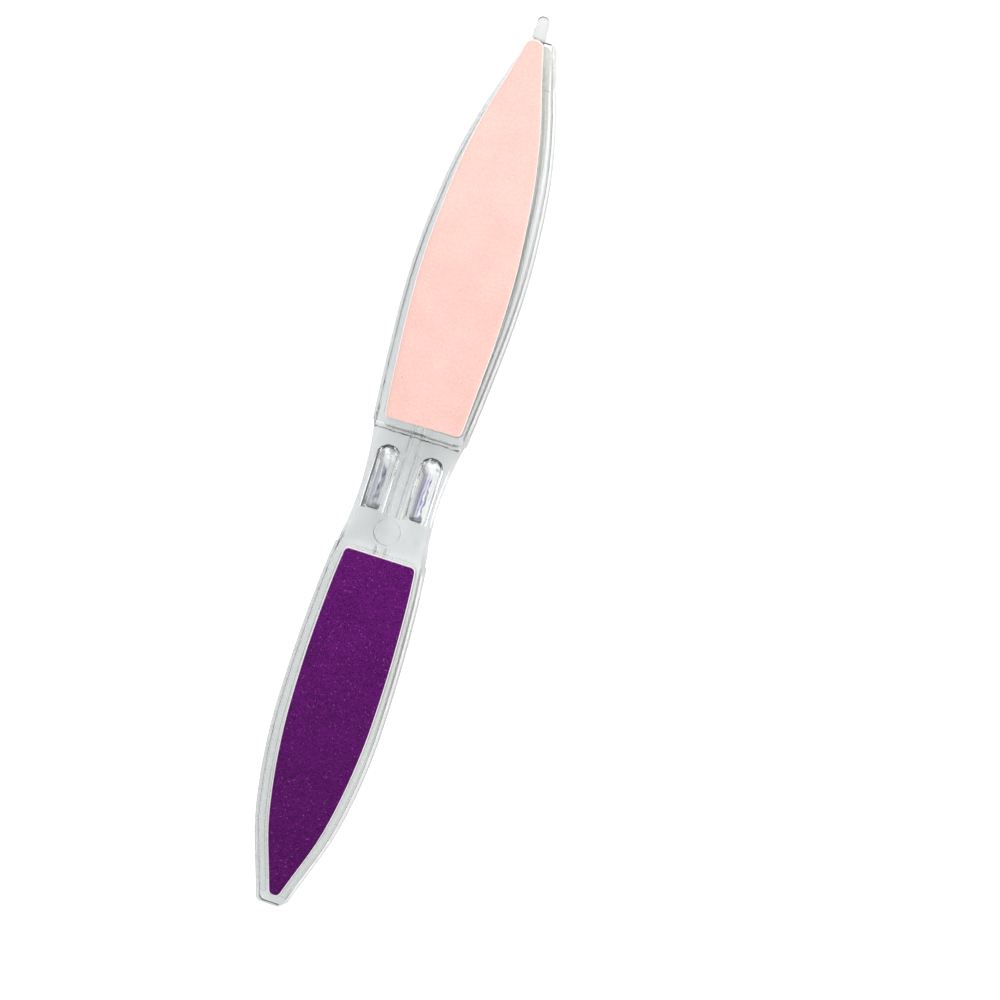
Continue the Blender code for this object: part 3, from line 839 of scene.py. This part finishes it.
@dataclass
class Pad:
    """One buffing pad: tape on the body's face, a foam core and a sheet of abrasive paper.

    The pairs of sheet_profile are the rings of the sheet's edge: how far each lies inside the
    outline, as a share of sheet_edge, and its height, as a share of the sheet's thickness.
    """

    face: Face
    blade: Blade
    grit: Grit
    slot: str
    step: float = 0.3 * MM
    foam_rings: int = 9
    foam_edge: float = 0.03 * MM
    foam_squareness: int = 4
    cell: float = 0.35 * MM
    cell_depth: float = 0.03 * MM
    end_half_width: float = 1 * MM
    sheet_profile: Stops = ((0.5, 0.0), (0.0, 0.15), (0.0, 0.75), (0.3, 0.93))
    sheet_edge: float = 0.04 * MM
    columns: int = 22
    ripple: float = 0.012 * MM
    ripple_size: float = 1.3 * MM
    pieces: list[bpy.types.Object] = field(default_factory=list)

    @property
    def name(self) -> str:
        """The pad's name, such as front_upper."""
        return f"{self.face.name.lower()}_{self.blade.value}"

    def build(self) -> None:
        """Builds and dresses the three layers."""
        self.dress_tape()
        self.build_foam()
        self.build_sheet()

    def dress_tape(self) -> None:
        """Gives the CAD tape its material."""
        self.pieces.append(dress(f"{self.name}_adhesive", Tape(f"{self.name}_tape").make()))

    def build_foam(self) -> None:
        """Models the foam core, whose soft cut edge shows its cells, in place of the CAD solid."""
        node = f"{self.name}_foam"
        low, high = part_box(node)
        outline = evenly(outline_of(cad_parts[node]), self.step)
        shape = bmesh.new()
        rings = []
        for share in np.linspace(0, 1, self.foam_rings):
            crown = 1 - abs(2 * share - 1) ** self.foam_squareness
            ring = inset(outline, self.foam_edge * (1 - crown))
            z = low.z + (high.z - low.z) * share
            rings.append([shape.verts.new(self.pitted(x, y, z, crown)) for x, y in ring])
        join_rings(shape, rings)
        shape.faces.new(rings[0])
        shape.faces.new(rings[-1])
        foam = link(f"{self.name}_foam_core", shape, CellFoam(f"{self.name}_foam").make())
        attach(foam, ROOT)
        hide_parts(node)
        self.pieces.append(foam)

    def pitted(self, x: float, y: float, z: float, crown: float) -> Vector:
        """A point of the foam's edge, moved towards the buffer's middle where a cell is cut open.

        Args:
            x: Its place across.
            y: Its place along.
            z: Its height.
            crown: How far it is from the edge's upper and lower corner, 0 to 1.

        Returns:
            The moved point.
        """
        where = Vector((x, y, z))
        depth = max(0.0, noise.noise(where / self.cell)) * self.cell_depth * crown
        if abs(x) > self.end_half_width:
            towards = (Vector((0.0, y, z)) - where).normalized()
        else:
            towards = Vector((0.0, -math.copysign(1, y), 0.0))
        return where + towards * depth

    def build_sheet(self) -> None:
        """Models the abrasive sheet, with a slightly rolled edge and an uneven outer face."""
        node = f"{self.name}_abrasive"
        low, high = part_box(node)
        near, far = (low.z, high.z) if self.face is Face.FRONT else (high.z, low.z)
        outline = evenly(outline_of(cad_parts[node]), self.step)
        shape = bmesh.new()
        rings = []
        for inwards_share, height_share in self.sheet_profile:
            ring = inset(outline, self.sheet_edge * inwards_share)
            z = near + (far - near) * height_share
            rings.append([shape.verts.new((x, y, z)) for x, y in ring])
        join_rings(shape, rings)
        shape.faces.new(rings[0])
        rim = [shape.verts.new((x, y, far)) for x, y in inset(outline, self.sheet_edge)]
        join_rings(shape, [rings[-1], rim])
        self.fill_face(shape, rim)
        sheet = link(f"{self.name}_sheet", shape, self.grit.make())
        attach(sheet, ROOT)
        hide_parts(node)
        self.pieces.append(sheet)

    def fill_face(self, shape: bmesh.types.BMesh, rim: list[Any]) -> None:
        """Closes the sheet's outer face with rows of small faces that ripple by a few microns.

        Args:
            shape: The mesh.
            rim: The ring round the face, of an even number of points.
        """
        count = len(rim)
        rows = []
        for index in range(count // 2 + 1):
            first, second = rim[index % count], rim[-index % count]
            if first is second:
                rows.append([first] * (self.columns + 1))
                continue
            row = [first]
            for column in range(1, self.columns):
                place = first.co.lerp(second.co, column / self.columns)
                sink = (0.5 + 0.5 * noise.noise(place / self.ripple_size)) * self.ripple
                place.z -= self.face.value * sink
                row.append(shape.verts.new(place))
            rows.append(row + [second])
        for row, following in zip(rows, rows[1:]):
            for column in range(self.columns):
                corners = [row[column], row[column + 1], following[column + 1], following[column]]
                corners = list(dict.fromkeys(corners))
                if len(corners) > 2:
                    shape.faces.new(corners)


@dataclass
class Body:
    """The two clear shells, the cuticle pusher and the waist's inserts, whose CAD shapes stay."""

    shell_tint: Colour = (0.750, 0.764, 0.766)
    # Painted light: the shells' flat faces turn lighter towards the tip.
    shell_painted_tip_tint: Colour = (0.90, 0.91, 0.91)
    # Painted light: the shells' upright walls are lighter than their flat faces.
    shell_painted_wall_tint: Colour = (0.84, 0.85, 0.852)
    pusher_tint: Colour = (0.68, 0.685, 0.69)
    # Painted shade: the pusher's upright walls are darker than its flat faces.
    pusher_painted_wall_tint: Colour = (0.50, 0.505, 0.51)
    pieces: list[bpy.types.Object] = field(default_factory=list)

    def build(self) -> None:
        """Dresses the inserts and the clear pieces."""
        inserts = {"left_waist_insert": LEFT_PAINTED_REFLECTIONS, "right_waist_insert": RIGHT_PAINTED_REFLECTIONS}
        for name, streaks in inserts.items():
            metal = PolishedMetal(f"{name}_metal", *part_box(name), streaks)
            self.pieces.append(dress(name, metal.make()))
        tints = (self.shell_tint, self.shell_painted_tip_tint, self.shell_painted_wall_tint)
        for name in ("front_shell", "back_shell"):
            self.pieces.append(dress(name, ClearPlastic(f"{name}_clear", *tints).make()))
        tints = (self.pusher_tint, self.pusher_tint, self.pusher_painted_wall_tint)
        self.pieces.append(dress("cuticle_pusher", ClearPlastic("pusher_clear", *tints).make()))


@dataclass(frozen=True)
class SoftLight:
    """A soft square light that points at the buffer: its place and side in metres, and watts."""

    name: str
    place: Place
    size: float
    power: float

    def add(self) -> None:
        """Adds the light to the scene."""
        lamp = bpy.data.lights.new(self.name, "AREA")
        lamp.size = self.size
        lamp.energy = self.power
        made = bpy.data.objects.new(self.name, lamp)
        bpy.context.scene.collection.objects.link(made)
        made.location = self.place
        made.rotation_euler = (-Vector(self.place)).to_track_quat("-Z", "Y").to_euler()


@dataclass
class Studio:
    """The floor, the sky, the soft lights and the camera.

    The camera's values come from a fit of the buffer's outline to the photograph. The anchor is a
    point of the buffer, and anchor_pixel is where the photograph shows it.
    """

    floor_size: float = 6.0
    floor_drop: float = 0.05 * MM
    floor_segments: int = 12
    sky: Stops = ((0.0, 0.30), (0.5, 0.50), (0.85, 0.60), (0.97, 1.0))
    sky_strength: float = 1.6
    sky_lean: float = 0.85
    lights: tuple[SoftLight, ...] = (
        SoftLight("key", (-0.15, 0.60, 0.55), 0.45, 2.2),
        SoftLight("fill", (0.28, -0.60, 0.50), 0.50, 1.0),
    )
    roll: float = math.radians(17.764)
    pan: float = math.radians(7.4)
    distance: float = 0.6
    nearest: float = 0.01
    pixels_per_metre: float = 6194.9
    anchor: Place = (0.0, 0.0, 6.77 * MM)
    anchor_pixel: Point = (408.49, 459.89)
    picture: float = 1000.0
    sensor: float = 36.0

    def build(self) -> None:
        """Builds the studio."""
        self.build_floor()
        self.build_sky()
        for light in self.lights:
            light.add()
        self.add_camera()

    def build_floor(self) -> None:
        """A flat floor just under the buffer."""
        shape = bmesh.new()
        count, half = self.floor_segments, self.floor_size / 2
        bmesh.ops.create_grid(shape, x_segments=count, y_segments=count, size=half)
        floor = link("floor", shape, PaleFloor("floor_matt").make())
        floor.location.z = -self.floor_drop

    def build_sky(self) -> None:
        """White light, brightest straight above and on the right, greyer at the horizon."""
        tree = Tree(bpy.data.worlds.new("studio"))
        brightness = tree.ramp(tree.axis("Z"), self.sky)
        brightness = brightness * (1 + tree.axis("X") * self.sky_lean)
        inputs = {"Color": brightness, "Strength": self.sky_strength}
        sky = tree.node("ShaderNodeBackground", {}, inputs)
        bpy.context.scene.world = tree.finish(sky.outputs[0])

    def add_camera(self) -> None:
        """Puts the camera where the photograph's stood."""
        up = Vector((-math.sin(self.roll), math.cos(self.roll), 0.0))
        back = Vector((math.sin(self.pan), 0.0, math.cos(self.pan)))
        up = (up - back * up.dot(back)).normalized()
        right = up.cross(back)
        middle = self.picture / 2
        across = (self.anchor_pixel[0] - middle) / self.pixels_per_metre
        above = (middle - self.anchor_pixel[1]) / self.pixels_per_metre
        place = Vector(self.anchor) + back * self.distance - right * across - up * above
        lens = bpy.data.cameras.new("camera")
        lens.sensor_width = self.sensor
        lens.lens = self.sensor * self.pixels_per_metre * self.distance / self.picture
        lens.clip_start = self.nearest
        camera = bpy.data.objects.new("camera", lens)
        bpy.context.scene.collection.objects.link(camera)
        turned = Matrix((right, up, back)).transposed().to_4x4()
        camera.matrix_world = Matrix.Translation(place) @ turned
        bpy.context.scene.camera = camera


# Colours of the inserts' painted reflections.
LAVENDER = (0.66, 0.65, 0.95)
VIOLET = (0.36, 0.22, 0.60)
BLUE = (0.16, 0.16, 0.62)
NAVY = (0.02, 0.02, 0.12)
LEFT_PAINTED_REFLECTIONS = (
    PaintedReflection(0.24, 0.08, LAVENDER, 0.7),
    PaintedReflection(0.38, 0.03, VIOLET, 0.4),
    PaintedReflection(0.58, 0.13, NAVY, 1.0),
)
RIGHT_PAINTED_REFLECTIONS = (
    PaintedReflection(0.28, 0.05, LAVENDER, 0.8),
    PaintedReflection(0.42, 0.07, VIOLET, 0.9),
    PaintedReflection(0.56, 0.05, BLUE, 0.9),
    PaintedReflection(0.68, 0.04, NAVY, 0.9),
)
UPPER_SPAN = (5 * MM, 72 * MM)
LOWER_SPAN = (-72 * MM, -17 * MM)
PINK = Grit(
    "pink_grit",
    dark=srgb(234, 187, 178),
    light=srgb(248, 209, 199),
    speck=srgb(196, 132, 120),
    glint=srgb(255, 226, 218),
    grain=0.38 * MM,
    span=UPPER_SPAN,
    # Painted shade towards the lower end.
    painted_shade=0.1,
    mottle_share=0.35,
    glint_share=0.0,
)
PURPLE = Grit(
    "purple_grit",
    dark=srgb(30, 1, 36),
    light=srgb(118, 27, 130),
    speck=srgb(44, 0, 52),
    glint=srgb(165, 88, 165),
    grain=0.17 * MM,
    span=LOWER_SPAN,
    # Painted shade towards the lower end.
    painted_shade=0.32,
    shine=0.1,
    mottle_share=0.08,
    glint_share=0.08,
)
GREY = Grit(
    "grey_grit",
    dark=srgb(148, 150, 156),
    light=srgb(188, 190, 196),
    speck=srgb(96, 98, 104),
    glint=srgb(232, 234, 240),
    grain=0.26 * MM,
    span=UPPER_SPAN,
)
WHITE = Grit(
    "white_grit",
    dark=srgb(226, 223, 218),
    light=srgb(246, 244, 240),
    speck=srgb(190, 184, 176),
    glint=srgb(255, 255, 252),
    grain=0.16 * MM,
    span=LOWER_SPAN,
)


def main() -> None:
    """Builds every piece and the studio."""
    logging.basicConfig(level=logging.INFO, format="%(name)s: %(message)s")
    bpy.context.scene.view_settings.view_transform = "Standard"
    parts = (
        Body(),
        Pad(Face.FRONT, Blade.UPPER, PINK, "pink_grit"),
        Pad(Face.FRONT, Blade.LOWER, PURPLE, "purple_grit"),
        Pad(Face.BACK, Blade.UPPER, GREY, "grey_grit"),
        Pad(Face.BACK, Blade.LOWER, WHITE, "white_grit"),
    )
    for part in parts:
        part.build()
        for piece in part.pieces:
            LOG.info("%s: %d faces", piece.name, len(piece.data.polygons))
    Studio().build()
    LOG.info("studio built")


if __name__ == "__main__":
    main()
